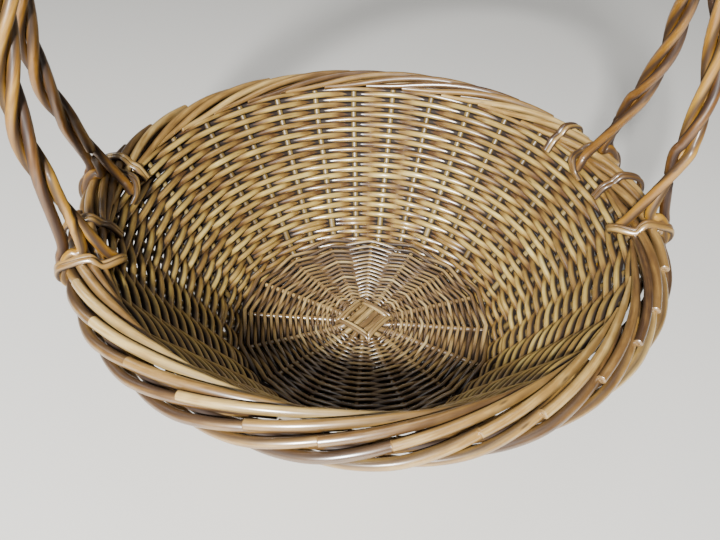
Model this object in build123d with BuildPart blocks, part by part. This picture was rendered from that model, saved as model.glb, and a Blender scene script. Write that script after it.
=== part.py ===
"""Round willow basket with flared sides, a rolled border and a fixed double rope handle.

Millimetres, +Z up. The origin is on the ground under the middle of the base, and the
handle spans along X. Every willow rod is a prism of few sides swept along its own bends.
"""
import os
from math import atan2, cos, degrees, hypot, pi, radians, sin, tan

from build123d import *

# Wall: a cone from the edge of the base up to the border.
wall_foot_radius = 108.0
wall_foot_height = 12.0
wall_top_radius = 186.0
wall_top_height = 128.0

# Base: one layer of sticks laid across another, all opened out into spokes.
sticks_per_layer = 4
stick_thickness = 4.6
stick_pitch = 5.8
stick_height = 10.0
stick_end_radius = 101.0
stick_bend_radius = 27.0
slath_turn = 45.0
binding_rounds = 2
binding_thickness = 2.6
binding_group_room = 0.65
binding_corner_room = 4.4
base_rows = 12
base_row_pitch = 5.4
base_weaver_thickness = 3.0
base_weave_start = 36.0

# Foot: the plain round that the basket stands on.
foot_radius = 103.0
foot_width = 8.0

# Sides: upright stakes with rods woven in front of one and behind the next.
stake_count = 32
stake_thickness = 4.8
stake_tail = 8.0
stake_lead = 2.2
stake_rise = 2.2
side_rows = 26
weaver_thickness = 3.7
first_row = 20.0
top_row_room = 4.3
upsett_rounds = 2
upsett_pitch = 6.6
upsett_thickness = 4.9
upsett_start = 5.0

# Rolled border: rods that each start inside, on top of a stake, and pass over three spaces to
# a cut end outside, with a second set that comes out from under them and turns down round
# the outside. A course gives the spaces between stakes that a rod has passed, and how far
# out and up from the middle of the border it is there.
border_rod_thickness = 6.9
border_overhang = 12.0
border_rise = 1.5
over_course = ((1, -15.2, 5.4), (2, -6.8, 11.4), (3, 4.2, 11), (4, 12.6, 3.4))
under_course = ((-1.3, -6.5, 3.4), (0, 5.2, 2), (1, 13.4, -5.4), (2, 7.6, -12.4), (2.9, 0, -14.2))

# Handle: two ropes side by side, each of three rods laid together.
strands_per_rope = 3
strand_thickness = 7.2
rope_turns = 7
steps_per_turn = 5
handle_foot_angle = 12.8
handle_foot_out = 1.0
handle_foot_rise = 5.8
handle_spread = 12.0
handle_shoulder_height = 235.0
handle_join_height = 335.0
handle_top_height = 436.0
handle_swings = (0, 25, 50, 72)
tail_inside_length = 12.0
tail_outside_length = 58.0
tail_rest = 28.0
tail_splay = 1.9

# Lashings round the border, with ends that bear on the two faces of the weave below it. One
# at a foot leans over the strand that ends inside.
lashing_thickness = 4.0
lashing_slant = 3.6
lashing_lean = 1.8
lashing_cross = 1.2
lashing_lift = 6.0
lashing_tuck = 9.6
lashing_shoulder = 10.0
lashing_inside_end = 8.0
lashing_foot_end = 4.0
lashing_outside_end = 12.7

# Clearances.
weave_gap = 0.3
end_gap = 0.3
rope_gap = 0.6
border_clearance = 0.8
lashing_seat = 1.8

os.makedirs("parts", exist_ok=True)

# Worked out from the sizes above.
wall_slant = hypot(wall_top_height - wall_foot_height, wall_top_radius - wall_foot_radius)
out_slope = (wall_top_radius - wall_foot_radius) / wall_slant
up_slope = (wall_top_height - wall_foot_height) / wall_slant
spoke_count = 4 * sticks_per_layer
spoke_step = 360 / spoke_count
stake_step = 360 / stake_count
last_row = wall_slant - top_row_room
row_pitch = (last_row - first_row) / (side_rows - 1)
stake_top = wall_slant + stake_rise
foot_thickness = stick_height - stick_thickness / 2 - end_gap
border_middle_radius = wall_top_radius + border_overhang
border_middle_height = wall_top_height + border_rise
border_room = border_rod_thickness / 2 + border_clearance
border_reaches = [out for _, out, _ in over_course + under_course]
border_climbs = [up for _, _, up in over_course + under_course]
border_inner_face = border_middle_radius + min(border_reaches) - border_room
border_outer_face = border_middle_radius + max(border_reaches) + border_room
border_crown = border_middle_height + max(border_climbs) + border_room
border_underside = border_middle_height + min(border_climbs) - border_room
handle_foot_radius = border_middle_radius + handle_foot_out
handle_foot_height = border_crown + handle_foot_rise
handle_shoulder_reach = handle_foot_radius + handle_spread


def polar(radius, angle, height):
    """The point at an angle in degrees round the basket's axis."""
    return (radius * cos(radians(angle)), radius * sin(radians(angle)), height)


def turned(point, angle):
    """A point turned about the basket's axis by an angle in degrees."""
    x, y, z = point
    return polar(hypot(x, y), degrees(atan2(y, x)) + angle, z)


def wall_point(along, out, angle):
    """The point so far up the slant of the wall and so far out from its middle surface."""
    radius = wall_foot_radius + along * out_slope + out * up_slope
    height = wall_foot_height + along * up_slope - out * out_slope
    return polar(radius, angle, height)


def stake_angle(index):
    """Stakes stand in pairs beside the spokes, a little round from them."""
    return (index + 0.5) * stake_step + stake_lead


def crossing_offset(rod, crossed, spacing, bend=0, skew=0):
    """How far a woven rod's middle stands off the one that it crosses.

    The rod runs straight from one side of its path to the other in each space, so it
    has to clear the crossed rod's corners as well as its face. A round that is bent
    round the wall turns by bend degrees at each crossing, towards those corners. One
    that lies flat crosses askew by skew degrees, so it meets a wider rod.
    """
    width = crossed / cos(radians(skew)) + rod * tan(radians(skew))
    room = 1 - width / spacing
    corner_gap = weave_gap + (crossed + rod) / 2 * tan(radians(bend / 2))
    slope = atan2(2 * ((rod + crossed) / 2 + corner_gap) / room, spacing)
    return (crossed / 2 + corner_gap + rod / 2 / cos(slope)) / room


def run_plane(start, following, upward):
    """The plane across a rod's first run, its Y axis as near as can be to upward."""
    run = Vector(*following) - Vector(*start)
    return Plane(origin=start, x_dir=run.cross(Vector(*upward)), z_dir=run)


def open_rod(points, thickness, sides, upward=(0, 0, 1)):
    """A willow rod with two ends, built into the part that is open.

    Its thickness is measured across the flats of a square section, and across the
    corners of one with more sides, so that it is never thicker than the willow.
    """
    with BuildLine() as route:
        Polyline(points)
    with BuildSketch(run_plane(points[0], points[1], upward)) as section:
        RegularPolygon(thickness / 2, sides, major_radius=sides > 4, rotation=180 / sides)
    sweep(section.sketch, path=route.line, transition=Transition.RIGHT)


def closed_rod(points, thickness, upward=(0, 0, 1)):
    """A rod woven right round, of square section, built into the part that is open."""
    middle = tuple((Vector(*points[-1]) + Vector(*points[0])) * 0.5)
    with BuildLine() as route:
        Polyline([middle, *points], close=True)
    with BuildSketch(run_plane(middle, points[0], upward)) as section:
        Rectangle(thickness, thickness)
    sweep(section.sketch, path=route.line, transition=Transition.RIGHT)


def finish(piece, name):
    """Name a finished piece and write it out."""
    piece.part.label = name
    export_step(piece.part, f"parts/{name}.step")


# Base sticks. Each runs straight through the crossing and bends out to a spoke each end.
def stick_points(index, layer_side):
    """Half of a stick, from the middle of the slath out to the end of its spoke."""
    place = index - (sticks_per_layer - 1) / 2
    across = place * stick_pitch
    level = layer_side * (stick_thickness + end_gap) / 2
    slath_half = sticks_per_layer * stick_pitch / 2
    fan = radians(place * spoke_step)
    bend = (stick_bend_radius * cos(fan), stick_bend_radius * sin(fan))
    tip = (stick_end_radius * cos(fan), stick_end_radius * sin(fan))
    return [
        (slath_half, across, stick_height + level),
        (*bend, stick_height),
        (*tip, stick_height),
    ]


def make_sticks(name, layer_side, turn):
    """One layer of the slath, as separate sticks."""
    with BuildPart() as layer:
        for index in range(sticks_per_layer):
            out_half = stick_points(index, layer_side)
            mirror_half = stick_points(sticks_per_layer - 1 - index, layer_side)
            back_half = [(-x, -y, z) for x, y, z in reversed(mirror_half)]
            points = [turned(point, turn) for point in back_half + out_half]
            open_rod(points, stick_thickness, 4)
    finish(layer, name)


make_sticks("slath_sticks_upper", 1, slath_turn)
make_sticks("slath_sticks_lower", -1, slath_turn + 90)


# Binding: rounds that pass over one layer of sticks and under the other.
def binding_points(round_index):
    """One round, square in plan, rising over the upper sticks' four-stick groups."""
    slath_half = sticks_per_layer * stick_pitch / 2
    side = slath_half + (round_index + 0.5) * (binding_thickness + weave_gap) + end_gap
    group = side + binding_group_room
    corner = side + binding_corner_room
    lift = stick_thickness + binding_thickness / 2 + end_gap
    points = []
    for quarter in range(4):
        level = stick_height + (lift if quarter % 2 == 0 else -lift)
        angle = slath_turn + 90 * quarter
        points.append(turned((side, -group, level), angle))
        points.append(turned((side, group, level), angle))
        points.append(turned((corner, corner, stick_height), angle))
    return points


with BuildPart() as slath_binding:
    for round_index in range(binding_rounds):
        closed_rod(binding_points(round_index), binding_thickness)
finish(slath_binding, "slath_binding")


# Base weave: each round passes over one spoke and under the next.
with BuildPart() as base_weave:
    for row in range(base_rows):
        radius = base_weave_start + row * base_row_pitch
        spacing = 2 * pi * radius / spoke_count
        skew = spoke_step / 2
        lift = crossing_offset(base_weaver_thickness, stick_thickness, spacing, skew=skew)
        corners = []
        for spoke in range(spoke_count):
            level = stick_height + (lift if (spoke + row) % 2 else -lift)
            corners.append(polar(radius, slath_turn + (spoke + 0.5) * spoke_step, level))
        closed_rod(corners, base_weaver_thickness)
finish(base_weave, "base_weave")


# Foot round.
with BuildPart() as foot_round:
    with BuildSketch():
        RegularPolygon(foot_radius + foot_width / 2, stake_count)
        RegularPolygon(foot_radius - foot_width / 2, stake_count, mode=Mode.SUBTRACT)
    extrude(amount=foot_thickness)
finish(foot_round, "foot_round")


# Stakes: a short tail between the base and the foot round, then straight up the wall.
bend_along = (stick_height - wall_foot_height) / up_slope
with BuildPart() as side_stakes:
    for index in range(stake_count):
        angle = stake_angle(index)
        tail = polar(wall_foot_radius - stake_tail, angle, stick_height)
        bend = wall_point(bend_along, 0, angle)
        top = wall_point(stake_top, 0, angle)
        open_rod([tail, bend, top], stake_thickness, 4)
finish(side_stakes, "side_stakes")


# Woven rounds of the side.
top_spacing = stake_step * radians(1) * wall_top_radius
top_offset = crossing_offset(weaver_thickness, stake_thickness, top_spacing, stake_step)
woven_face = top_offset + weaver_thickness / 2


def woven_face_at(angle):
    """How far the weave's face is from the wall's middle: most at a stake, least midway."""
    bays = (angle - stake_angle(0)) / stake_step
    share = abs(bays % 1 - 0.5) * 2
    return weaver_thickness / 2 + share * top_offset


def make_round(name, along, thickness, phase):
    """A round that passes inside one stake and outside the next."""
    spacing = stake_step * radians(1) * (wall_foot_radius + along * out_slope)
    offset = crossing_offset(thickness, stake_thickness, spacing, stake_step)
    corners = []
    for index in range(stake_count):
        side = offset if (index + phase) % 2 else -offset
        corners.append(wall_point(along, side, stake_angle(index)))
    middle_angle = (stake_angle(0) + stake_angle(stake_count - 1) - 360) / 2
    upward = polar(out_slope, middle_angle, up_slope)
    with BuildPart() as woven:
        closed_rod(corners, thickness, upward)
    finish(woven, name)


for row in range(upsett_rounds):
    upsett_name = f"upsett_round_{row + 1}"
    make_round(upsett_name, upsett_start + row * upsett_pitch, upsett_thickness, row)

for row in range(side_rows):
    make_round(f"side_weaver_{row + 1:02d}", first_row + row * row_pitch, weaver_thickness, row)


# Border rods.
def make_border(name, course):
    """One rod for each stake, laid clockwise along its course."""
    with BuildPart() as border:
        for index in range(stake_count):
            points = []
            for bays, out, up in course:
                angle = stake_angle(index) - bays * stake_step
                radius = border_middle_radius + out
                points.append(polar(radius, angle, border_middle_height + up))
            open_rod(points, border_rod_thickness, 5)
    finish(border, name)


make_border("border_over_rods", over_course)
make_border("border_under_rods", under_course)


# Handle ropes.
strand_radius = strand_thickness / 2
lay_radius = strand_radius / cos(pi / 6) / cos(pi / steps_per_turn) + weave_gap
rope_offset_at_top = lay_radius + strand_radius + rope_gap / 2
foot_x, foot_y, foot_z = polar(handle_foot_radius, handle_foot_angle, handle_foot_height)


def spine_half(side):
    """Points of a rope's middle line from its right foot to just short of the top."""
    rise = handle_join_height - foot_z
    points = [(foot_x, side * foot_y, foot_z)]
    crown = handle_top_height - handle_shoulder_height
    for swing in handle_swings:
        x = handle_shoulder_reach * cos(radians(swing))
        z = handle_shoulder_height + crown * sin(radians(swing))
        share = min((z - foot_z) / rise, 1)
        y = foot_y + (rope_offset_at_top - foot_y) * share
        points.append((x, side * y, z))
    return points


def rope_spine(side):
    """The middle line of one rope, from the right foot over to the left foot."""
    right_half = spine_half(side)
    left_half = [(-x, y, z) for x, y, z in reversed(right_half)]
    top = (0, side * rope_offset_at_top, handle_top_height)
    with BuildLine() as spine:
        Spline(*right_half, top, *left_half)
    return spine.wires()[0]


def strand_tail(strand, side, end):
    """The end of a strand, listed from its tip up to the rope: one inside, two outside."""
    angle = side * handle_foot_angle
    stand_off = woven_face + strand_radius + end_gap
    if strand == 0:
        inner = border_inner_face - strand_radius - border_clearance
        places = [
            wall_point(last_row - tail_inside_length, -stand_off, angle),
            polar(inner, angle, border_middle_height + border_clearance),
            polar(inner + strand_thickness, angle, border_crown + strand_radius + end_gap),
        ]
    else:
        outer = border_outer_face + strand_radius
        splay = angle + (tail_splay if strand == 2 else -tail_splay)
        places = [
            wall_point(last_row - tail_outside_length, stand_off, splay),
            wall_point(last_row - tail_rest, stand_off, splay),
            polar(outer - lashing_shoulder, splay, border_underside - strand_radius),
            polar(outer, splay, border_middle_height - lashing_shoulder),
            polar(outer, splay, border_middle_height + lashing_shoulder / 2),
        ]
    return [(end * x, y, z) for x, y, z in places]


def strand_points(strand, side):
    """One strand from tip to tip, laid right-handed about the rope's middle line."""
    spine = rope_spine(side)
    steps = rope_turns * steps_per_turn
    laid = []
    for step in range(steps + 1):
        share = step / steps
        tangent = spine % share
        across = (Vector(0, 1, 0) - tangent * tangent.Y).normalized()
        inward = tangent.cross(across)
        turn = 2 * pi * (rope_turns * share + strand / strands_per_rope)
        place = spine @ share + (inward * cos(turn) - across * sin(turn)) * lay_radius
        laid.append(tuple(place))
    right_tail = strand_tail(strand, side, 1)
    left_tail = strand_tail(strand, side, -1)
    return right_tail + laid + left_tail[::-1]


for side, place in ((1, "rear"), (-1, "front")):
    for strand in range(strands_per_rope):
        with BuildPart() as rope_strand:
            open_rod(strand_points(strand, side), strand_thickness, 5)
        finish(rope_strand, f"{place}_rope_strand_{strand + 1}")


# Lashings. A foot lashing runs slantwise round the border and all three strand ends, and a
# plain one straight round the border.
lashing_radius = lashing_thickness / 2


def lashing_end(drop, face, angle):
    """An end that bears on the weave, so far below the last row, inside or outside it."""
    off = woven_face_at(angle) + lashing_radius + lashing_seat
    return wall_point(last_row - drop, face * off, angle)


def wrap_points(inner, outer, far, near):
    """Over the border from its inner face at one angle, and back under it at another."""
    above = border_crown + lashing_radius
    below = border_underside - lashing_radius
    shoulder = lashing_shoulder
    return [
        polar(inner, far, border_middle_height + shoulder),
        polar(border_middle_radius - shoulder, far, above),
        polar(border_middle_radius + shoulder, far, above),
        polar(outer, far, border_middle_height + shoulder / 2),
        polar(outer, near, border_middle_height - shoulder),
        polar(border_middle_radius + shoulder, near, below),
        polar(border_middle_radius - shoulder / 2, near, below),
        lashing_end(lashing_outside_end, 1, near),
    ]


def plain_lashing(angle):
    """A wrap straight round the border."""
    inner = border_inner_face - lashing_radius
    outer = border_outer_face + lashing_radius
    inside_end = lashing_end(lashing_inside_end, -1, angle)
    return [inside_end, *wrap_points(inner, outer, angle, angle)]


def foot_lashing(side, end):
    """A slanting wrap round the border and the strand ends at one foot."""

    def place(turn):
        """The angle that lies so far round from the foot, towards its own side."""
        angle = side * (handle_foot_angle + turn)
        return angle if end > 0 else 180 - angle

    near = place(-lashing_slant)
    inner = border_inner_face - lashing_radius
    outer = border_outer_face + strand_thickness + lashing_thickness
    tuck = inner - lashing_tuck
    lifted = border_middle_height + lashing_lift
    return [
        lashing_end(lashing_foot_end, -1, near),
        polar(tuck - lashing_radius, place(-lashing_lean), border_middle_height),
        polar(tuck + lashing_radius, place(lashing_cross), lifted),
        *wrap_points(inner, outer, place(lashing_slant), near),
    ]


middle_place = stake_lead
rear_place = middle_place + 2 * stake_step
plain_places = {
    "right_middle_lashing": middle_place,
    "right_rear_lashing": rear_place,
    "left_middle_lashing": 180 + middle_place,
    "left_rear_lashing": 180 + middle_place - 2 * stake_step,
}
for name, angle in plain_places.items():
    with BuildPart() as lashing:
        open_rod(plain_lashing(angle), lashing_thickness, 4, polar(1, angle, 0))
    finish(lashing, name)

for side, place in ((1, "rear"), (-1, "front")):
    for end, hand in ((1, "right"), (-1, "left")):
        with BuildPart() as lashing:
            open_rod(foot_lashing(side, end), lashing_thickness, 4, (0, 1, 0))
        finish(lashing, f"{hand}_{place}_foot_lashing")
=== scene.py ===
"""Round willow basket with a twisted double handle: rods, varnish, light and camera.

Lengths are millimetres in the frame of the CAD model, and turn to metres in the meshes. Angles
are degrees round the basket's axis, and along and out are places on the slant of its wall.
"""
from math import cos, hypot, pi, radians, sin

import bpy
import numpy as np
from mathutils import Matrix, Vector


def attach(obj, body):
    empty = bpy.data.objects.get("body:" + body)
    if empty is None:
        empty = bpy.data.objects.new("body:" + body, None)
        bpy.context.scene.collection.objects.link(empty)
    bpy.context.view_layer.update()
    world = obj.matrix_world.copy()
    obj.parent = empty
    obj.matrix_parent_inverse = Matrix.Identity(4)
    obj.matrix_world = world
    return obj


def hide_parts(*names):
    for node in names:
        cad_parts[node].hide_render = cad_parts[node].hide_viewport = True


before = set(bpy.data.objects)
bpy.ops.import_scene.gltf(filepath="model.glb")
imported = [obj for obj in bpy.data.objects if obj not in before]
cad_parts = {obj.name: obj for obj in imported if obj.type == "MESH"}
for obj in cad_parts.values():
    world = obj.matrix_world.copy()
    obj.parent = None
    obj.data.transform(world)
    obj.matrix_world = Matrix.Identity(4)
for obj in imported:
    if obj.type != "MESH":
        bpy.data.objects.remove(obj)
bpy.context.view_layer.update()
MM = 0.001
# Every draw comes from one seeded stream, so their order is part of the look.
RANDOM_SEED = 20
random = np.random.default_rng(RANDOM_SEED)

# The wall, the base and the stakes, as in the CAD model.
WALL_FOOT_RADIUS, WALL_FOOT_HEIGHT = 108.0, 12.0
WALL_TOP_RADIUS, WALL_TOP_HEIGHT = 186.0, 128.0
SPOKES, STAKES = 16, 32
SPOKE_STEP, STAKE_STEP = 360 / SPOKES, 360 / STAKES
SLATH_TURN, STICK_HEIGHT, STAKE_LEAD = 45.0, 10.0, 2.2
WALL_SLANT = hypot(WALL_TOP_HEIGHT - WALL_FOOT_HEIGHT, WALL_TOP_RADIUS - WALL_FOOT_RADIUS)
OUT_SLOPE = (WALL_TOP_RADIUS - WALL_FOOT_RADIUS) / WALL_SLANT
UP_SLOPE = (WALL_TOP_HEIGHT - WALL_FOOT_HEIGHT) / WALL_SLANT
BORDER_RADIUS, BORDER_HEIGHT = 198.0, 129.5
UP = (0, 0, 1)


# ---------------------------------------------------------------- rods
# What the material reads at each point of a rod. rod is a value of the rod's own, stain is the
# darkening of grime and painted shade in the hollows, tint makes it lighter or darker and also
# holds the painted shade where a rod lies back in the weave, and cut marks its two ends.
FACTS = ("rod", "stain", "tint", "cut")
ROD, STAIN_AND_SHADE, TINT, CUT = range(len(FACTS))
# The darkening along a rod's flanks, where it meets its neighbours, is partly grime and partly
# painted shade. It fades away from the flanks by this power.
DIRT_AND_SHADE_FALL = 2.2
# A side of a rod gets painted shade that narrows to a point as it tucks under the weave: from
# where in the swing and over how much of it, then how far in from the flanks, and how wide the
# soft edge is.
TUCK_START, TUCK_SPAN, TUCK_REACH, TUCK_EDGE = 0.2, 0.65, 1.3, 0.3
# What lies back in the weave gets painted shade too: from where, over how much, and by how much.
RECESS_START, RECESS_SPAN, RECESS_SHADE = -0.5, 0.8, -0.3
# Steps that keep the grain of one rod apart from that of the next.
GRAIN_STEP_ALONG, GRAIN_STEP_ACROSS, GRAIN_SEEDS = 997, 131, 40
# A cut end's rings: share of the rod's radius, and how far they stand out.
CAP_RINGS = ((1.0, 0.0), (0.82, 0.22), (0.3, 0.24), (0.05, 0.16))


class Rods:
    """Round willow rods gathered into one mesh, with the facts their material reads."""

    def __init__(self):
        self.points, self.grain, self.facts = [], [], []
        self.faces, self.count = [], 0

    def add(self, path, radius, sides=10, *, facing, closed=False, stain=0.0, tint=0.0,
            oval=1.0, dirt=0.0, swing=None):
        """One rod along a path. facing points away from the weave, stain and dirt run 0 to 1.

        oval is the depth of its section as a share of its width, and dirt is the darkening along
        its two flanks, where it meets its neighbours: partly grime, partly painted shade. swing
        runs from -1 to 1 as the rod goes behind and before the weave. It paints shade on each side
        of the rod, narrowing to a point where it goes under, and paints shade on what lies back in
        the weave.
        """
        path = np.asarray(path, float)
        count = len(path)
        radius = np.broadcast_to(np.asarray(radius, float), (count,))
        if closed:
            tangent = np.roll(path, -1, 0) - np.roll(path, 1, 0)
        else:
            tangent = np.gradient(path, axis=0)
        tangent = unit(tangent)
        across = unit(np.cross(tangent, np.asarray(facing, float)))
        outward = np.cross(across, tangent)
        turn = np.arange(sides) * 2 * pi / sides
        shape = (np.cos(turn)[None, :, None] * across[:, None, :]
                 + oval * np.sin(turn)[None, :, None] * outward[:, None, :])
        ring = path[:, None, :] + radius[:, None, None] * shape
        grain = self._grain(path, radius, turn)
        facts = np.zeros((count, sides, len(FACTS)))
        facts[:, :, ROD] = random.uniform(0, 1)
        # The flanks darken where rods meet: partly grime, partly painted shade.
        flank = np.abs(np.cos(turn))[None, :]
        facts[:, :, STAIN_AND_SHADE] = np.clip(stain + dirt * flank ** DIRT_AND_SHADE_FALL, 0, 1)
        facts[:, :, TINT] = tint
        if swing is not None:
            # Painted shade on each side, narrowing to a point where the rod tucks under.
            under = np.where(np.sin(turn) < 0, swing[:, None], -swing[:, None])
            tucked = np.clip((under - TUCK_START) / TUCK_SPAN, 0, 1)
            point = np.clip((flank - 1 + TUCK_REACH * tucked) / TUCK_EDGE, 0, 1)
            facts[:, :, STAIN_AND_SHADE] = np.maximum(facts[:, :, STAIN_AND_SHADE], point)
            # Painted shade on what lies back in the weave.
            recess = np.clip((under - RECESS_START) / RECESS_SPAN, 0, 1)
            facts[:, :, TINT] += RECESS_SHADE * recess
        self._put(ring, grain, facts)
        rows = np.arange(count if closed else count - 1)
        near = rows[:, None] * sides + np.arange(sides)[None, :]
        far = ((rows + 1) % count)[:, None] * sides + np.arange(sides)[None, :]
        quads = np.stack([near, np.roll(near, -1, 1), np.roll(far, -1, 1), far], -1)
        self.faces.append((quads.reshape(-1, 4) + self.count)[:, ::-1])
        self.count += count * sides
        if not closed:
            self._cap(ring[0], path[0], grain[0], facts[0], -tangent[0] * radius[0], True)
            self._cap(ring[-1], path[-1], grain[-1], facts[-1], tangent[-1] * radius[-1], False)

    def _grain(self, path, radius, turn):
        """Where the wood's grain is read: along the rod, then across its section."""
        runs = np.linalg.norm(np.diff(path, axis=0), axis=1)
        along = np.concatenate([[0], np.cumsum(runs)])
        seed = random.uniform(0, GRAIN_SEEDS)
        grain = np.zeros((len(path), len(turn), 3))
        grain[:, :, 0] = along[:, None] + GRAIN_STEP_ALONG * seed
        grain[:, :, 1] = radius[:, None] * np.cos(turn) + GRAIN_STEP_ACROSS * seed
        grain[:, :, 2] = radius[:, None] * np.sin(turn)
        return grain

    def _put(self, ring, grain, facts):
        self.points.append(ring.reshape(-1, 3))
        self.grain.append(grain.reshape(-1, 3))
        self.facts.append(facts.reshape(-1, len(FACTS)))

    def _cap(self, ring, middle, grain, facts, outward, first):
        """A cut end: a worn edge round a flat face with a pith in the middle."""
        sides = len(ring)
        facts = facts.copy()
        facts[:, CUT] = 1
        for shrink, lift in CAP_RINGS:
            self._put((middle + (ring - middle) * shrink + outward * lift)[None],
                      grain[None], facts[None])
        for step in range(len(CAP_RINGS) - 1):
            near = self.count + step * sides + np.arange(sides)
            far = near + sides
            quads = np.stack([near, np.roll(near, -1), np.roll(far, -1), far], -1)
            self.faces.append(quads if first else quads[:, ::-1])
        self.count += len(CAP_RINGS) * sides

    def piece(self, name, material, slot, *nodes):
        """The gathered rods as one object that stands for CAD nodes."""
        points = np.concatenate(self.points) * MM
        faces = np.concatenate(self.faces)
        mesh = bpy.data.meshes.new(name)
        mesh.vertices.add(len(points))
        mesh.vertices.foreach_set("co", points.ravel())
        mesh.loops.add(faces.size)
        mesh.loops.foreach_set("vertex_index", faces.ravel().astype(np.int32))
        mesh.polygons.add(len(faces))
        mesh.polygons.foreach_set("loop_start", np.arange(len(faces), dtype=np.int32) * 4)
        mesh.polygons.foreach_set("use_smooth", np.ones(len(faces), bool))
        mesh.update(calc_edges=True)
        grain = mesh.attributes.new("grain", "FLOAT_VECTOR", "POINT")
        grain.data.foreach_set("vector", (np.concatenate(self.grain) * MM).ravel())
        facts = np.concatenate(self.facts)
        for index, fact in enumerate(FACTS):
            layer = mesh.attributes.new(fact, "FLOAT", "POINT")
            layer.data.foreach_set("value", np.ascontiguousarray(facts[:, index]))
        mesh.materials.append(material)
        thing = bpy.data.objects.new(name, mesh)
        bpy.context.scene.collection.objects.link(thing)
        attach(thing, "root")
        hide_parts(*nodes)


def unit(vectors):
    """The same directions with a length of one."""
    return vectors / np.linalg.norm(vectors, axis=1)[:, None]


def smooth(keys, per_key, closed=False):
    """A smooth line through rows of key values, with so many steps to each."""
    keys = np.asarray(keys, float)
    if closed:
        before, start, end, after = (np.roll(keys, n, 0) for n in (1, 0, -1, -2))
    else:
        full = np.vstack([2 * keys[0] - keys[1], keys, 2 * keys[-1] - keys[-2]])
        before, start, end, after = full[:-3], full[1:-2], full[2:-1], full[3:]
    share = (np.arange(per_key) / per_key)[None, :, None]
    before, start, end, after = (part[:, None, :] for part in (before, start, end, after))
    line = 0.5 * (2 * start + (end - before) * share
                  + (2 * before - 5 * start + 4 * end - after) * share ** 2
                  + (3 * start - before - 3 * end + after) * share ** 3)
    line = line.reshape(-1, keys.shape[1])
    return line if closed else np.vstack([line, keys[-1]])


def ripple(angle, size, waves):
    """A gentle unevenness that closes round the basket."""
    total = np.zeros_like(angle)
    for wave in waves:
        total += np.sin(wave * np.radians(angle) + random.uniform(0, 2 * pi))
    return size * total / len(waves) ** 0.5


def around(radius, angle, height):
    """Points at angles round the basket's axis."""
    turn = np.radians(angle)
    radius, height = np.broadcast_arrays(radius, height)
    return np.stack([radius * np.cos(turn), radius * np.sin(turn), height + 0 * turn], -1)


def wall(along, out, angle):
    """Points so far up the slant of the wall and so far out from its middle surface."""
    radius = WALL_FOOT_RADIUS + along * OUT_SLOPE + out * UP_SLOPE
    height = WALL_FOOT_HEIGHT + along * UP_SLOPE - out * OUT_SLOPE
    return around(radius, angle, height)


def wall_facing(angle):
    """The direction straight out of the wall."""
    return around(UP_SLOPE, angle, -OUT_SLOPE)


def turned(points, angle):
    """Points turned about the basket's axis."""
    turn = radians(angle)
    x, y, z = np.asarray(points, float).T
    return np.stack([x * cos(turn) - y * sin(turn), x * sin(turn) + y * cos(turn), z], -1)


# ---------------------------------------------------------------- varnished willow
# Sockets of Blender's mix node for colours.
MIX_FACTOR, MIX_FIRST, MIX_SECOND, MIX_RESULT = 0, 6, 7, 2
# Noise scales in the rod's own directions, per metre: along it, then across its section.
STREAKS, BLOTCHES, FIBRES, KNOTS = (30, 620, 620), (55, 160, 160), (120, 3200, 3200), (38, 170, 170)
NOISE_ROUGHNESS, STREAK_WEIGHT, BLOTCH_WEIGHT = 0.55, 0.55, 0.55
KNOT_EDGE, KNOT_PATCHES, KNOT_STRENGTH = (0.05, 0.2), (0.42, 0.6), 0.75
STAIN_AND_SHADE_RAGGED, STAIN_AND_SHADE_EDGE, CUT_STRENGTH = 0.5, (0.12, 0.95), 0.6
BUMP_STRENGTH, BUMP_DEPTH = 0.5, 0.0004
FIBRE_BUMP, STREAK_BUMP, KNOT_BUMP = 0.5, 0.8, 0.5
SMOOTHEST, ROUGHEST, BLOTCH_ROUGH, STAIN_AND_SHADE_ROUGH = 0.3, 0.75, 0.6, 0.6
COAT_ROUGHNESS, COAT_IOR = 0.25, 1.95
# DARK is the colour of knots and of the grime and painted shade in the hollows.
DARK, CUT_WOOD = (34, 22, 13), (136, 106, 62)
# How much of the ramp the rods' own values span, unless a willow says otherwise.
ROD_SPREAD = 0.45


def tone(red, green, blue):
    """A colour from screen values to the shader's linear ones."""
    parts = [value / 255 for value in (red, green, blue)]
    return [((part + 0.055) / 1.055) ** 2.4 if part > 0.04 else part / 12.92
            for part in parts] + [1.0]


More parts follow.
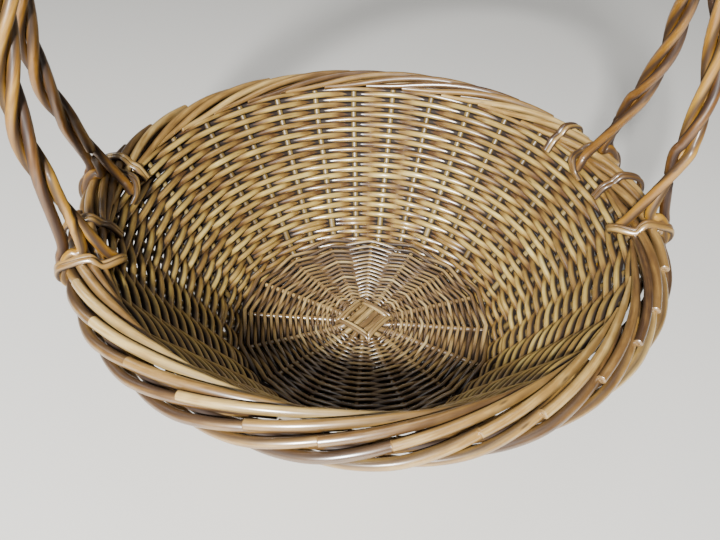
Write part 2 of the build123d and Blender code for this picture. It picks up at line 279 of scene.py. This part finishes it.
class Nodes:
    """A material's node tree, with short ways to make what the willow needs."""

    def __init__(self, name):
        self.material = bpy.data.materials.new(name)
        self.material.use_nodes = True
        self.tree = self.material.node_tree
        self.tree.nodes.clear()

    def node(self, kind, **settings):
        made = self.tree.nodes.new(kind)
        for key, value in settings.items():
            setattr(made, key, value)
        return made

    def link(self, source, target):
        self.tree.links.new(source, target)

    def math(self, operation, first, second):
        made = self.node("ShaderNodeMath", operation=operation)
        for socket, value in zip(made.inputs, (first, second)):
            if isinstance(value, (int, float)):
                socket.default_value = value
            else:
                self.link(value, socket)
        return made.outputs[0]

    def plus(self, first, second):
        return self.math("ADD", first, second)

    def minus(self, first, second):
        return self.math("SUBTRACT", first, second)

    def times(self, first, second):
        return self.math("MULTIPLY", first, second)

    def read(self, fact):
        return self.node("ShaderNodeAttribute", attribute_name=fact).outputs["Fac"]

    def grain(self, stretch):
        """The rod's own grain, stretched."""
        mapping = self.node("ShaderNodeMapping")
        mapping.inputs["Scale"].default_value = stretch
        grain = self.node("ShaderNodeAttribute", attribute_name="grain")
        self.link(grain.outputs["Vector"], mapping.inputs["Vector"])
        return mapping.outputs["Vector"]

    def noise(self, stretch, detail):
        made = self.node("ShaderNodeTexNoise")
        made.inputs["Scale"].default_value = 1.0
        made.inputs["Detail"].default_value = detail
        made.inputs["Roughness"].default_value = NOISE_ROUGHNESS
        self.link(self.grain(stretch), made.inputs["Vector"])
        return made.outputs["Fac"]

    def cells(self, stretch):
        made = self.node("ShaderNodeTexVoronoi")
        made.inputs["Scale"].default_value = 1.0
        self.link(self.grain(stretch), made.inputs["Vector"])
        return made.outputs["Distance"]

    def span(self, value, low, high):
        made = self.node("ShaderNodeMapRange", interpolation_type="SMOOTHSTEP")
        made.inputs["From Min"].default_value = low
        made.inputs["From Max"].default_value = high
        self.link(value, made.inputs["Value"])
        return made.outputs["Result"]

    def ramp(self, value, tones):
        made = self.node("ShaderNodeValToRGB")
        stops = made.color_ramp.elements
        stops.remove(stops[1])
        for index, (place, colour) in enumerate(tones):
            stop = stops.new(place) if index else stops[0]
            stop.position = place
            stop.color = tone(*colour)
        self.link(value, made.inputs["Fac"])
        return made.outputs["Color"]

    def blend(self, factor, first, second):
        """From a colour towards a plain tone."""
        made = self.node("ShaderNodeMix", data_type="RGBA")
        self.link(factor, made.inputs[MIX_FACTOR])
        self.link(first, made.inputs[MIX_FIRST])
        made.inputs[MIX_SECOND].default_value = tone(*second)
        return made.outputs[MIX_RESULT]


def willow(name, tones, stain_and_shade_tone, gloss, speckle=1.0, spread=ROD_SPREAD):
    """Varnished willow: rods of mixed colours, streaks, knots, grime and painted shade in hollows.

    spread is how much the rods differ from each other, about the same middle tone.
    """
    nodes = Nodes(name)
    plus, minus, times = nodes.plus, nodes.minus, nodes.times
    streaks = nodes.noise(STREAKS, detail=5)
    blotches = nodes.noise(BLOTCHES, detail=3)
    fibres = nodes.noise(FIBRES, detail=3)

    shade = plus(times(nodes.read("rod"), spread), (ROD_SPREAD - spread) / 2)
    shade = plus(shade, times(streaks, STREAK_WEIGHT))
    shade = plus(shade, times(minus(blotches, 0.5), BLOTCH_WEIGHT))
    shade = plus(shade, nodes.read("tint"))
    colour = nodes.ramp(shade, tones)

    knot = minus(1.0, nodes.span(nodes.cells(KNOTS), *KNOT_EDGE))
    knot = times(knot, nodes.span(blotches, *KNOT_PATCHES))
    knot = times(knot, KNOT_STRENGTH * speckle)
    colour = nodes.blend(knot, colour, stain_and_shade_tone)

    # Grime and painted shade in the hollows, with a ragged edge, in the dark tone.
    ragged = times(minus(streaks, 0.5), STAIN_AND_SHADE_RAGGED)
    stained_and_shaded = nodes.span(plus(nodes.read("stain"), ragged), *STAIN_AND_SHADE_EDGE)
    colour = nodes.blend(stained_and_shaded, colour, stain_and_shade_tone)
    colour = nodes.blend(times(nodes.read("cut"), CUT_STRENGTH), colour, CUT_WOOD)

    bump = nodes.node("ShaderNodeBump")
    bump.inputs["Strength"].default_value = BUMP_STRENGTH
    bump.inputs["Distance"].default_value = BUMP_DEPTH
    height = plus(times(fibres, FIBRE_BUMP), times(streaks, STREAK_BUMP))
    nodes.link(minus(height, times(knot, KNOT_BUMP)), bump.inputs["Height"])

    rough = nodes.node("ShaderNodeMapRange")
    rough.inputs["To Min"].default_value = SMOOTHEST
    rough.inputs["To Max"].default_value = ROUGHEST
    nodes.link(plus(times(blotches, BLOTCH_ROUGH), times(stained_and_shaded, STAIN_AND_SHADE_ROUGH)),
               rough.inputs["Value"])

    shader = nodes.node("ShaderNodeBsdfPrincipled")
    nodes.link(rough.outputs["Result"], shader.inputs["Roughness"])
    nodes.link(colour, shader.inputs["Base Color"])
    nodes.link(bump.outputs["Normal"], shader.inputs["Normal"])
    nodes.link(times(minus(1.0, stained_and_shaded), gloss), shader.inputs["Coat Weight"])
    shader.inputs["Coat Roughness"].default_value = COAT_ROUGHNESS
    shader.inputs["Coat IOR"].default_value = COAT_IOR
    output = nodes.node("ShaderNodeOutputMaterial")
    nodes.link(shader.outputs["BSDF"], output.inputs["Surface"])
    return nodes.material


weaver_willow = willow(
    "willow_weavers", stain_and_shade_tone=DARK, gloss=0.9, spread=0.22,
    tones=((0.1, (84, 55, 24)), (0.36, (138, 106, 48)), (0.62, (188, 159, 80)),
           (0.9, (238, 221, 144))))
base_willow = willow(
    "willow_base", stain_and_shade_tone=DARK, gloss=0.9,
    tones=((0.12, (60, 41, 22)), (0.4, (110, 83, 47)), (0.65, (158, 130, 78)),
           (0.92, (212, 188, 134))))
border_willow = willow(
    "willow_border", stain_and_shade_tone=(44, 28, 15), gloss=1.0,
    tones=((0.1, (62, 39, 17)), (0.34, (106, 75, 33)), (0.6, (150, 115, 55)),
           (0.9, (203, 172, 104))))
handle_willow = willow(
    "willow_handle", stain_and_shade_tone=(34, 18, 9), gloss=0.55, speckle=1.3,
    tones=((0.12, (58, 32, 7)), (0.38, (98, 62, 12)), (0.62, (134, 92, 20)),
           (0.92, (172, 130, 40))))
stake_willow = willow(
    "willow_stakes", stain_and_shade_tone=DARK, gloss=0.15,
    tones=((0.1, (76, 57, 26)), (0.4, (106, 85, 42)), (0.65, (128, 107, 58)),
           (0.9, (150, 130, 80))))


# ---------------------------------------------------------------- base
STICKS, STICK_PITCH, LAYER_LIFT = 4, 5.8, 2.3
SLATH_HALF, FAN_START, FAN_END = STICKS * STICK_PITCH / 2, 14.0, 27.0
# A stick's key places along its spokes and through the slath, and its radius at some reaches.
SPOKE_KEYS, MIDDLE_KEYS = (FAN_END, 60.0, 101.0), (-12.0, 0.0, 12.0)
STICK_REACHES, STICK_RADII, STICK_SPREAD = (16, 45, 100), (2.75, 2.3, 2.1), (0.95, 1.03)
# The binding goes round the slath in two pairs of laps, one over each arm where the other is
# under it, and bulges at the corners.
BINDING_LAPS, BINDING_RADIUS, BINDING_SWING = 4, 1.45, 5.4
BINDING_GAP, BINDING_PITCH, BINDING_CORNER, BINDING_BULGE = 1.7, 2.7, 4.0, 0.6
# The woven rounds lie close, finer near the slath than by the wall, where they rise.
BASE_START, BASE_END, BASE_STEPS = 20.5, 107.5, 10
BASE_RADIUS, BASE_GROWTH, BASE_REACH = 1.25, 0.6, 105.0
BASE_SPREAD, BASE_PITCH, BASE_WANDER = (0.93, 1.1), 1.66, 0.3
BASE_SWING, BASE_SWING_GROWTH = 0.9, 0.8
RISE_START, RISE_WIDTH, BASE_RISE = 94.0, 11.0, 3.5
# The rods of the foot round: height, how far out, and where the wave that each makes starts.
GROUND_RODS = ((1.8, 0.0, 0), (4.4, 1.2, 120), (4.4, -1.4, 240))
GROUND_RADIUS, GROUND_ROD_RADIUS, GROUND_WAVE, GROUND_STEPS = 103.0, 1.9, 1.2, 384


def from_middle(index):
    """How many places a stick is from the middle of its layer."""
    return index - (STICKS - 1) / 2


def spoke_place(spoke, reach):
    """Where a spoke runs at so far from the middle: it leaves the slath, then fans out."""
    quarter, index = divmod(spoke, STICKS)
    across = from_middle(index)
    fan = radians(across * SPOKE_STEP)
    if reach >= FAN_END:
        plan = (reach * cos(fan), reach * sin(fan))
    else:
        share = (reach - FAN_START) / (FAN_END - FAN_START)
        plan = (FAN_START + share * (FAN_END * cos(fan) - FAN_START),
                across * STICK_PITCH * (1 - share) + share * FAN_END * sin(fan))
    return turned([(*plan, STICK_HEIGHT)], SLATH_TURN + 90 * quarter)[0]


def stick_path(quarter, index, lift):
    """A stick from end to end: through the slath in its layer, and out as two spokes."""
    across = from_middle(index) * STICK_PITCH
    middle = turned([(place, across, STICK_HEIGHT + lift) for place in MIDDLE_KEYS],
                    SLATH_TURN + 90 * quarter)
    ahead = [spoke_place(STICKS * quarter + index, reach) for reach in SPOKE_KEYS]
    opposite = STICKS * (quarter + 2) + STICKS - 1 - index
    back = [spoke_place(opposite, reach) for reach in SPOKE_KEYS[::-1]]
    return smooth([*back, *middle, *ahead], per_key=8)


def binding_path(lap):
    """A lap of the binding: over two arms of the slath, and under the other two."""
    side = SLATH_HALF + BINDING_GAP + lap // 2 * BINDING_PITCH
    corner = side + BINDING_BULGE
    keys = []
    for quarter in range(4):
        over = (quarter + lap) % 2 == 0
        level = STICK_HEIGHT + (BINDING_SWING if over else -BINDING_SWING)
        arm = [(side, BINDING_CORNER - side, level), (side, side - BINDING_CORNER, level),
               (corner, corner, STICK_HEIGHT)]
        keys += list(turned(arm, SLATH_TURN + 90 * quarter))
    return smooth(keys, per_key=8, closed=True)


def base_round(row, reach, radius):
    """A woven round of the base, with its angles and its swing over and under the spokes."""
    spokes = np.array([spoke_place(spoke, reach) for spoke in range(SPOKES)])
    share = (np.arange(SPOKES * BASE_STEPS) / BASE_STEPS) % 1
    bay = np.repeat(np.arange(SPOKES), BASE_STEPS)
    near, far = spokes[bay], spokes[(bay + 1) % SPOKES]
    path = near + (far - near) * share[:, None]
    angle = np.degrees(np.arctan2(path[:, 1], path[:, 0]))
    path[:, :2] *= 1 + ripple(angle, size=BASE_WANDER / reach, waves=(3, 5, 8))[:, None]
    swing = np.cos(pi * (bay + share + row))
    path[:, 2] += swing * (BASE_SWING + BASE_SWING_GROWTH * radius)
    path[:, 2] += BASE_RISE * max(0, (reach - RISE_START) / RISE_WIDTH)
    return path, angle, swing


for quarter, (layer, lift) in enumerate((("upper", LAYER_LIFT), ("lower", -LAYER_LIFT))):
    rods = Rods()
    for index in range(STICKS):
        path = stick_path(quarter, index, lift)
        radius = np.interp(np.hypot(path[:, 0], path[:, 1]), STICK_REACHES, STICK_RADII)
        rods.add(path, radius * random.uniform(*STICK_SPREAD), sides=12, facing=UP, dirt=0.6,
                 tint=0.1)
    rods.piece(f"sticks_{layer}", base_willow, "base_sticks", f"slath_sticks_{layer}")

rods = Rods()
for lap in range(BINDING_LAPS):
    rods.add(binding_path(lap), BINDING_RADIUS, closed=True, facing=UP, dirt=0.6, tint=0.1)
rods.piece("binding", base_willow, "base_weavers", "slath_binding")

rods = Rods()
reach, row = BASE_START, 0
while reach < BASE_END:
    radius = BASE_RADIUS + BASE_GROWTH * (reach / BASE_REACH) ** 2
    radius *= random.uniform(*BASE_SPREAD)
    path, angle, swing = base_round(row, reach, radius)
    rods.add(path, radius * (1 + ripple(angle, size=0.06, waves=(2, 3, 7))), sides=12,
             closed=True, facing=UP, swing=swing, dirt=0.9, tint=random.uniform(-0.12, 0.12))
    reach += BASE_PITCH * radius
    row += 1
rods.piece("base_weave_rods", base_willow, "base_weavers", "base_weave")

rods = Rods()
for height, out, lead in GROUND_RODS:
    angle = np.arange(GROUND_STEPS) * 360 / GROUND_STEPS
    wave = np.cos(np.radians(angle * STAKES / len(GROUND_RODS) + lead))
    rods.add(around(GROUND_RADIUS + out + GROUND_WAVE * wave, angle, height),
             GROUND_ROD_RADIUS, sides=8, closed=True, facing=UP, stain=0.15)
rods.piece("foot_rods", base_willow, "base_weavers", "foot_round")


# ---------------------------------------------------------------- sides
STAKE_TAIL_RADIUS, STAKE_KEYS, STAKE_SWAY = 100.0, (-1.5, 30.0, 75.0, 110.0, 140.0), 0.175
STAKE_RADIUS, STAKE_TIP_RADIUS = 2.8, 2.6
# Places round the wall, counted in stakes.
SIDE_STEPS = 12
STATIONS = np.arange(STAKES * SIDE_STEPS) / SIDE_STEPS
SIDE_ROWS, FIRST_ROW, ROOM_ABOVE = 26, 20.0, 4.3
ROW_PITCH = (WALL_SLANT - ROOM_ABOVE - FIRST_ROW) / (SIDE_ROWS - 1)
# A weaver's radius is over half the pitch, by these shares, so that the rounds close up.
WEAVER_SPREAD, WEAVER_SWING = (1.18, 1.28), 2.8
# A second rod in the last round fills the room under the border.
TOP_ROD_LIFT, TOP_ROD_SWING, TOP_ROD_RADIUS = 4.2, 2.4, 2.1
# The upsett's rods are counted from the wall's foot. The one before 0 closes the joint there.
UPSETT_GROUPS = (range(-1, 3), range(3, 5))
UPSETT_START, UPSETT_PITCH, UPSETT_SWING, UPSETT_RADIUS = 0.6, 3.8, 2.9, 2.4


def stake_angle(station):
    """Where a stake stands, or a place between two stakes."""
    return (station + 0.5) * STAKE_STEP + STAKE_LEAD


RING_ANGLE = stake_angle(STATIONS)


def lay_round(rods, along, row, depth, radius, sides=16, **facts):
    """A round of the wall. It swings before and behind the stakes, against the next row."""
    swing = np.cos(pi * (STATIONS + row))
    rods.add(wall(along, swing * depth, RING_ANGLE), radius, sides, closed=True, dirt=1.0,
             facing=wall_facing(RING_ANGLE), swing=swing, **facts)


rods = Rods()
for index in range(STAKES):
    angle = stake_angle(index)
    sway = (0, *random.uniform(-STAKE_SWAY, STAKE_SWAY, 3), 0)
    keys = [around(STAKE_TAIL_RADIUS, angle, STICK_HEIGHT),
            *(wall(along, 0, angle + lean) for along, lean in zip(STAKE_KEYS, sway))]
    path = smooth(keys, per_key=8)
    rods.add(path, np.linspace(STAKE_RADIUS, STAKE_TIP_RADIUS, len(path)),
             facing=-wall_facing(angle), oval=0.8, dirt=0.6)
rods.piece("stakes", stake_willow, "stakes", "side_stakes")

for row in range(SIDE_ROWS):
    rods = Rods()
    radius = ROW_PITCH / 2 * random.uniform(*WEAVER_SPREAD)
    along = FIRST_ROW + row * ROW_PITCH + ripple(RING_ANGLE, size=0.2, waves=(3, 7, 11, 17))
    lay_round(rods, along, row, WEAVER_SWING,
              radius * (1 + ripple(RING_ANGLE, size=0.04, waves=(1, 2, 5))), oval=0.98,
              tint=random.uniform(-0.06, 0.06))
    if row == SIDE_ROWS - 1:
        lay_round(rods, along + TOP_ROD_LIFT, row + 1, TOP_ROD_SWING, TOP_ROD_RADIUS, sides=12)
    rods.piece(f"weaver_{row + 1:02d}", weaver_willow, "side_weavers",
               f"side_weaver_{row + 1:02d}")

for number, rows in enumerate(UPSETT_GROUPS, start=1):
    rods = Rods()
    for row in rows:
        along = UPSETT_START + row * UPSETT_PITCH + ripple(RING_ANGLE, size=0.3, waves=(3, 5, 9))
        lay_round(rods, along, row, UPSETT_SWING, UPSETT_RADIUS, oval=0.8, tint=-0.12)
    rods.piece(f"upsett_{number}", weaver_willow, "side_weavers", f"upsett_round_{number}")


# ---------------------------------------------------------------- border
# Rows are bays along the rod, then out and up from the border's middle, then radius. The core
# rods lie inside the border, under the others.
OVER_ROD = ((0.35, -12.0, 1.4, 1.8), (0.8, -12.0, 1.9, 2.1), (1.2, -11.2, 3.0, 2.4),
            (1.6, -9.6, 4.9, 2.7), (2.0, -7.4, 6.6, 2.9), (2.5, -3.8, 7.8, 3.05),
            (3.0, 0.0, 7.9, 3.15), (3.5, 3.8, 6.7, 3.2), (4.0, 7.2, 4.4, 3.2))
UNDER_ROD = ((-1.3, -6.5, 1.0, 2.4), (-0.9, -3.4, 1.6, 2.8), (-0.45, 0.6, 1.8, 3.1),
             (0.0, 5.2, 1.4, 3.4), (0.5, 9.4, -0.8, 3.4), (1.0, 11.6, -4.6, 3.4),
             (1.5, 10.4, -8.2, 3.2), (2.0, 7.2, -10.6, 3.0), (2.5, 2.8, -11.6, 2.8),
             (2.9, -1.2, -10.8, 2.7), (3.3, -4.4, -8.6, 2.5), (3.7, -6.4, -6.0, 2.3))
CORE_ROD = ((-0.3, -4.0, -7.0, 2.6), (0.2, 0.0, -4.6, 2.8), (0.9, 3.4, -3.4, 2.8),
            (1.6, 4.8, -3.6, 2.8), (2.3, 2.4, -4.4, 2.7), (3.0, -2.0, -4.8, 2.6))
OVER_BAYS = OVER_ROD[-1][0]
# How far cut ends stray from the stakes in degrees, and rods from their places in millimetres.
BUTT_STRAY, BORDER_STRAY, BORDER_SPREAD = 1.4, 0.5, (0.93, 1.07)
# Rods of the border face away from a line a little under its middle.
FACING_DROP = -2.0


def by_border(out, angle, up):
    """Points so far out and up from the border's middle."""
    return around(BORDER_RADIUS + out, angle, BORDER_HEIGHT + up)


def lay_border_rod(rods, keys, start_angle, **facts):
    """A rod laid clockwise along the border, facing away from the border's middle."""
    bays, out, up, radius = smooth(keys, per_key=6).T
    angle = start_angle - bays * STAKE_STEP
    stray_out, stray_up = random.uniform(-BORDER_STRAY, BORDER_STRAY, 2)
    path = by_border(out + stray_out, angle, up + stray_up)
    rods.add(path, radius * random.uniform(*BORDER_SPREAD), sides=14,
             facing=path - by_border(0, angle, FACING_DROP), **facts)


over, under = Rods(), Rods()
for index in range(STAKES):
    stake = stake_angle(index)
    over_start = stake + random.uniform(-BUTT_STRAY, BUTT_STRAY) + OVER_BAYS * STAKE_STEP
    lay_border_rod(over, OVER_ROD, over_start, dirt=0.6, tint=random.uniform(-0.14, 0.12))
    lay_border_rod(under, UNDER_ROD, stake, dirt=0.75, tint=random.uniform(-0.14, 0.06))
    lay_border_rod(under, CORE_ROD, stake, dirt=0.8, stain=0.3, tint=-0.1)
over.piece("border_over", border_willow, "border", "border_over_rods")
under.piece("border_under", border_willow, "border", "border_under_rods")


# ---------------------------------------------------------------- handle
STRANDS, STRAND_RADIUS, LAY_RADIUS = 3, 3.6, 4.45
ROPE_TURNS, STEPS_PER_TURN = 7, 20
# Where the middle of a rope comes down on the border, then the arch from its foot to its top.
FOOT_ANGLE, FOOT_RADIUS, FOOT_HEIGHT = 12.8, 199.0, 151.0
FOOT_REACH = FOOT_RADIUS * cos(radians(FOOT_ANGLE))
FOOT_OFFSET, TOP_OFFSET = FOOT_RADIUS * sin(radians(FOOT_ANGLE)), 9.2
SHOULDER_REACH, SHOULDER_HEIGHT, JOIN_HEIGHT, TOP_HEIGHT = 211.0, 235.0, 335.0, 436.0
# Above the shoulders the arch is half an ellipse, with key points at these turns and on top.
ARCH_TURNS = (0, 25, 50, 72)
# A strand's end, tip first: out and up from the border's middle, and its turn from the foot.
# The first ends inside the border, and the others go down outside the woven wall.
STRAND_ENDS = (((-19.8, -2.0), (-17.4, 4.5), (-12.0, 13.4)),
               ((5.6, -17.1), (14.6, -7.0), (11.6, 5.5), (6.5, 11.9), (-1.0, 16.4)),
               ((5.6, -17.1), (14.6, -7.0), (14.1, 5.0), (10.6, 16.9)))
STRAND_SPLAYS, STRAND_FACING_UP = (0.0, -0.2, 1.9), 0.2
WOVEN_FACE = 6.5
TAIL_KEYS, TAIL_OUT = (78.0, 105.0), WOVEN_FACE + STRAND_RADIUS
# The strand is free at each end of the rope, then read at every second step.
FREE_STEPS, LAID_STRIDE = 6, 2
# How far its radius goes up and down, and over how many radians from end to end.
STRAND_WAVE, STRAND_WAVE_RUN = 0.04, 19


def rope_line(side):
    """The middle line of one rope, right foot to left foot, at even spacing."""
    keys = [(FOOT_REACH, side * FOOT_OFFSET, FOOT_HEIGHT)]
    for turn in ARCH_TURNS:
        height = SHOULDER_HEIGHT + (TOP_HEIGHT - SHOULDER_HEIGHT) * sin(radians(turn))
        share = min((height - FOOT_HEIGHT) / (JOIN_HEIGHT - FOOT_HEIGHT), 1)
        keys.append((SHOULDER_REACH * cos(radians(turn)),
                     side * (FOOT_OFFSET + (TOP_OFFSET - FOOT_OFFSET) * share), height))
    keys += [(0, side * TOP_OFFSET, TOP_HEIGHT)] + [(-x, y, z) for x, y, z in keys[::-1]]
    line = smooth(keys, per_key=60)
    runs = np.concatenate([[0], np.cumsum(np.linalg.norm(np.diff(line, axis=0), axis=1))])
    even = np.linspace(0, runs[-1], ROPE_TURNS * STEPS_PER_TURN + 1)
    return np.stack([np.interp(even, runs, line[:, axis]) for axis in range(3)], -1)


def lay_directions(line, strand):
    """Which way a strand lies from the middle of its rope, along the rope."""
    tangent = unit(np.gradient(line, axis=0))
    across = unit(np.array([0.0, 1.0, 0.0]) - tangent * tangent[:, 1:2])
    inward = np.cross(tangent, across)
    turn = 2 * pi * (np.arange(len(line)) / STEPS_PER_TURN + strand / STRANDS)
    return inward * np.cos(turn)[:, None] - across * np.sin(turn)[:, None]


def strand_end(strand, side, end):
    """The end of a strand from its tip up to the rope: one inside the border, two outside."""
    foot = side * FOOT_ANGLE
    angle = foot + STRAND_SPLAYS[strand]
    inside = strand == 0
    places = [] if inside else [wall(along, TAIL_OUT, angle) for along in TAIL_KEYS]
    places += [by_border(out, angle, up) for out, up in STRAND_ENDS[strand]]
    facing = around(-1.0 if inside else 1.0, np.full(len(places), foot), STRAND_FACING_UP)
    return np.array(places) * (end, 1, 1), facing * (end, 1, 1)


for side, place in ((1, "rear"), (-1, "front")):
    line = rope_line(side)
    for strand in range(STRANDS):
        lay = lay_directions(line, strand)
        laid = slice(FREE_STEPS, -FREE_STEPS, LAID_STRIDE)
        right, right_facing = strand_end(strand, side, 1)
        left, left_facing = strand_end(strand, side, -1)
        path = smooth(np.vstack([right, (line + lay * LAY_RADIUS)[laid], left[::-1]]), per_key=6)
        facing = smooth(np.vstack([right_facing, lay[laid], left_facing[::-1]]), per_key=6)
        wave = np.sin(np.linspace(0, STRAND_WAVE_RUN, len(path)) + strand)
        rods = Rods()
        rods.add(path, STRAND_RADIUS * (1 + STRAND_WAVE * wave), sides=16, facing=facing,
                 dirt=0.8, tint=random.uniform(-0.06, 0.06))
        rods.piece(f"{place}_strand_{strand + 1}", handle_willow, "handle",
                   f"{place}_rope_strand_{strand + 1}")


# ---------------------------------------------------------------- lashings
LASHING_LAPS, LAP_STEP, LASHING_RADIUS = 2, 1.12, 2.3
PLAIN_LASHINGS = {"right_middle_lashing": 2.2, "right_rear_lashing": 24.7,
                  "left_middle_lashing": 182.2, "left_rear_lashing": 159.7}
# A lap leans from a far angle over the border to a near one under it. Rows are a share of that,
# from 1 to -1, then out and up from the border's middle. The bulge is added outside the border.
WRAP_OVER = ((1.0, -10.2, 6.4), (0.7, -4.0, 11.9), (0.4, 7.0, 9.9))
WRAP_OUTSIDE = ((0.0, 13.0, 5.0), (-0.3, 15.0, -4.0), (-0.6, 11.0, -11.0))
WRAP_UNDER = ((-1.0, 6.0, -15.5), (-1.0, -4.0, -15.5))
# Their ends in the weave: how far up the wall, and out from its middle.
OUTER_END, PLAIN_INNER_END, FOOT_INNER_END = (122.8, 7.5), (131.0, -5.6), (130.0, -5.4)
PLAIN_BULGE, PLAIN_LEAN, PLAIN_INNER_EDGE = 0.9, 0.5, (-16.2, 3.0)
# A foot's lashing leans over the strand that ends inside: turn from the foot, out and up.
FOOT_BULGE, FOOT_FAR, FOOT_NEAR, FOOT_SHIFT = 3.2, 2.6, -2.8, 0.2
OVER_STRAND = ((-1.2, -24.4, -1.0), (1.4, -21.2, 5.0))


def wrap(bulge, far, near):
    """Over the border from its inner edge at one angle, and back under it at another."""
    middle, lean = (far + near) / 2, (far - near) / 2
    outside = [(share, out + bulge, up) for share, out, up in WRAP_OUTSIDE]
    return [*(by_border(out, middle + lean * share, up)
              for share, out, up in (*WRAP_OVER, *outside, *WRAP_UNDER)),
            wall(*OUTER_END, near)]


def lay_lap(rods, keys, middle, per_key, end=1):
    """A lap of a lashing, facing away from a point in the border. end of -1 mirrors it."""
    path = smooth(keys, per_key)
    rods.add(path * (end, 1, 1), LASHING_RADIUS, sides=12, oval=0.8, tint=-0.1, dirt=0.9,
             facing=(path - middle) * (end, 1, 1))


for name, angle in PLAIN_LASHINGS.items():
    rods = Rods()
    for lap in range(LASHING_LAPS):
        place = angle + (lap - 0.5) * LAP_STEP
        inner_out, inner_up = PLAIN_INNER_EDGE
        keys = [wall(*PLAIN_INNER_END, place), by_border(inner_out, place, inner_up),
                *wrap(PLAIN_BULGE, place, place + PLAIN_LEAN)]
        lay_lap(rods, keys, by_border(0, place, FACING_DROP), per_key=6)
    rods.piece(name.replace("lashing", "binding"), border_willow, "lashings", name)

for side, place in ((1, "rear"), (-1, "front")):
    for end, hand in ((1, "right"), (-1, "left")):
        foot = side * FOOT_ANGLE
        rods = Rods()
        for lap in range(LASHING_LAPS):
            start = foot + side * (lap * LAP_STEP + FOOT_SHIFT)
            far, near = start + side * FOOT_FAR, start + side * FOOT_NEAR
            keys = [wall(*FOOT_INNER_END, near),
                    *(by_border(out, start + side * turn, up) for turn, out, up in OVER_STRAND),
                    *wrap(FOOT_BULGE, far, near)]
            lay_lap(rods, keys, by_border(-1, foot, FACING_DROP), per_key=7, end=end)
        rods.piece(f"{hand}_{place}_foot_binding", border_willow, "lashings",
                   f"{hand}_{place}_foot_lashing")


# ---------------------------------------------------------------- floor, light and camera
# From here on places are in metres and powers in watts.
FLOOR_HALF, FLOOR_TONE, FLOOR_ROUGHNESS = 4, (214, 212, 206), 0.7
SKY_COLOUR, SKY_STRENGTH = (0.9, 0.93, 1.0, 1), 0.1

floor_mesh = bpy.data.meshes.new("floor")
floor_corners = [(x * FLOOR_HALF, y * FLOOR_HALF, 0)
                 for x, y in ((-1, -1), (1, -1), (1, 1), (-1, 1))]
floor_mesh.from_pydata(floor_corners, [], [(0, 1, 2, 3)])
floor = bpy.data.objects.new("floor", floor_mesh)
bpy.context.scene.collection.objects.link(floor)
pale = bpy.data.materials.new("pale_floor")
pale.use_nodes = True
pale_shader = pale.node_tree.nodes["Principled BSDF"]
pale_shader.inputs["Base Color"].default_value = tone(*FLOOR_TONE)
pale_shader.inputs["Roughness"].default_value = FLOOR_ROUGHNESS
floor_mesh.materials.append(pale)

world = bpy.data.worlds.new("studio")
world.use_nodes = True
background = world.node_tree.nodes["Background"]
background.inputs["Color"].default_value = SKY_COLOUR
background.inputs["Strength"].default_value = SKY_STRENGTH
bpy.context.scene.world = world


def softbox(name, place, aim, power, width, depth):
    """A rectangular soft light aimed at a point."""
    data = bpy.data.lights.new(name, "AREA")
    data.shape = "RECTANGLE"
    data.energy, data.size, data.size_y = power, width, depth
    lamp = bpy.data.objects.new(name, data)
    lamp.location = place
    lamp.rotation_euler = (Vector(aim) - Vector(place)).to_track_quat("-Z", "Y").to_euler()
    bpy.context.scene.collection.objects.link(lamp)


softbox("key", place=(-0.55, -1.42, 1.22), aim=(0, 0, 0.08), power=122, width=0.24, depth=0.2)
softbox("top", place=(0.25, 0.1, 1.9), aim=(0, 0, 0.1), power=4, width=0.8, depth=0.8)
softbox("rim", place=(-1.2, 0.7, 1.0), aim=(0, 0, 0.15), power=3, width=0.5, depth=0.7)

# The camera stands in front and a little to the left, looking down into the basket. Its
# place and turn are given in a frame whose x axis is turned back by VIEW_TURN.
VIEW_TURN, LOOK_DOWN, SWING, ROLL = 10.21, 41.925, 1.732, 1.919
CAMERA_PLACE = Vector((7.29, -410.92, 438.0)) * MM
FOCAL_LENGTH, SENSOR_WIDTH = 35.0, 36.0
lens = bpy.data.cameras.new("camera")
lens.lens, lens.sensor_width = FOCAL_LENGTH, SENSOR_WIDTH
camera = bpy.data.objects.new("camera", lens)
to_basket = Matrix.Rotation(radians(-VIEW_TURN), 4, "Z")
camera.matrix_world = (to_basket @ Matrix.Translation(CAMERA_PLACE)
                       @ Matrix.Rotation(radians(SWING), 4, "Z")
                       @ Matrix.Rotation(radians(90 - LOOK_DOWN), 4, "X")
                       @ Matrix.Rotation(radians(ROLL), 4, "Z"))
bpy.context.scene.collection.objects.link(camera)
bpy.context.scene.camera = camera
